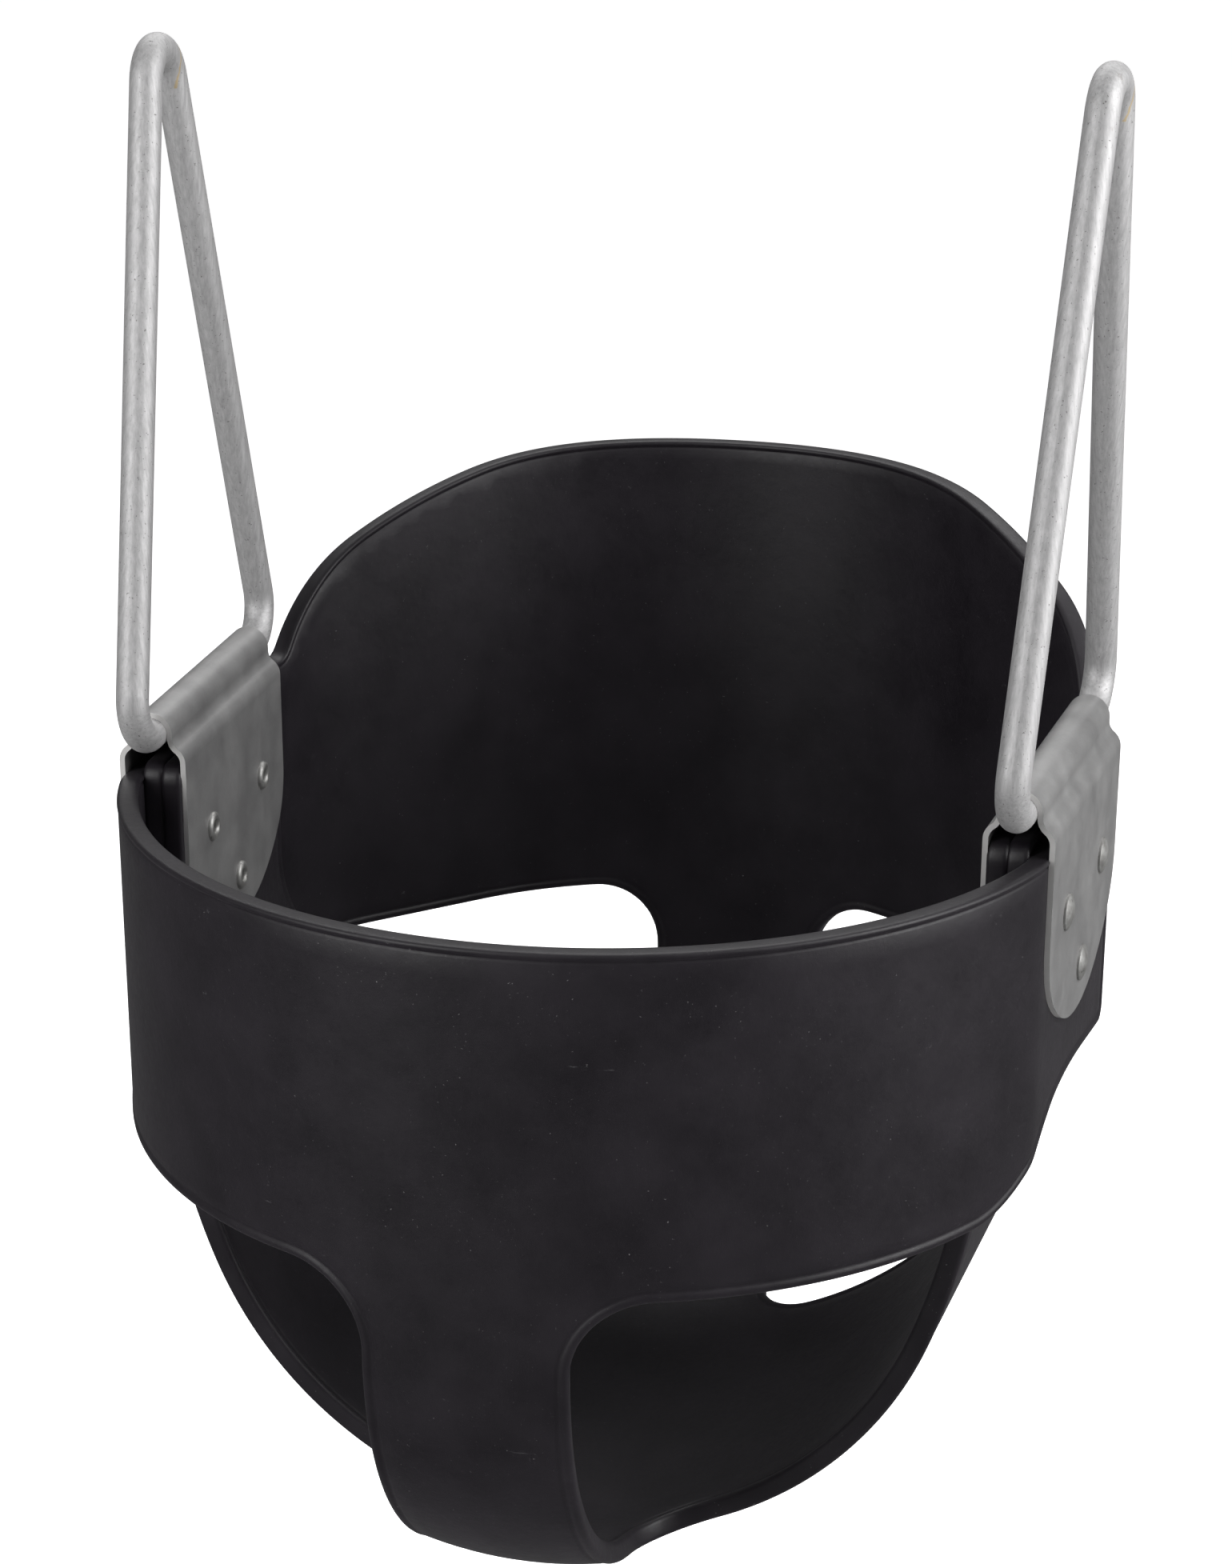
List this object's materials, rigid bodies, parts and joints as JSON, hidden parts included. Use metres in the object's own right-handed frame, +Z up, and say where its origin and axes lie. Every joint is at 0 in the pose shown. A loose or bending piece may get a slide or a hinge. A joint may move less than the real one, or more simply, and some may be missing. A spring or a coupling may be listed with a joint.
{
  "type": "toddler bucket swing",
  "caption": "Full-bucket toddler swing seat of moulded black rubber with leg openings, folded steel side brackets and swinging triangular steel hangers for the chains.",
  "frame": {"origin": "midway between the two hanging eyes, at the underside of the bars' top bends, where the chains take hold", "axes": "+Z up, +Y to the rear of the seat, +X to the right seen from the front, which is the sitter's left"},
  "size_m": [0.3648, 0.408, 0.5463],
  "materials": {
    "rubber": "satin black moulded rubber",
    "spring_steel": "blued spring steel strip, buried in the rubber",
    "bracket_zinc": "satin zinc-plated sheet, mid grey",
    "rivet_steel": "plated steel, slightly bright",
    "hanger_galvanised": "satin galvanised round bar"
  },
  "bodies": {
    "seat": {"seat_shell": "rubber", "front_insert": "spring_steel", "back_insert": "spring_steel", "pan_insert": "spring_steel", "right_bracket": "bracket_zinc", "right_rivet_front": "rivet_steel", "right_rivet_rear": "rivet_steel", "right_rivet_lower": "rivet_steel", "left_bracket": "bracket_zinc", "left_rivet_front": "rivet_steel", "left_rivet_rear": "rivet_steel", "left_rivet_lower": "rivet_steel"},
    "right_hanger": {"right_hanger": "hanger_galvanised"},
    "left_hanger": {"left_hanger": "hanger_galvanised"}
  },
  "joints": [
    {"name": "right_hanger_hinge", "type": "hinge", "parent": "seat", "child": "right_hanger", "pos_m": [0.165, 0, -0.23483], "axis": [0.0663, 0.9978, 0], "range_deg": [-41, 125]},
    {"name": "left_hanger_hinge", "type": "hinge", "parent": "seat", "child": "left_hanger", "pos_m": [-0.165, 0, -0.23483], "axis": [0.0663, -0.9978, 0], "range_deg": [-41, 125]}
  ]
}
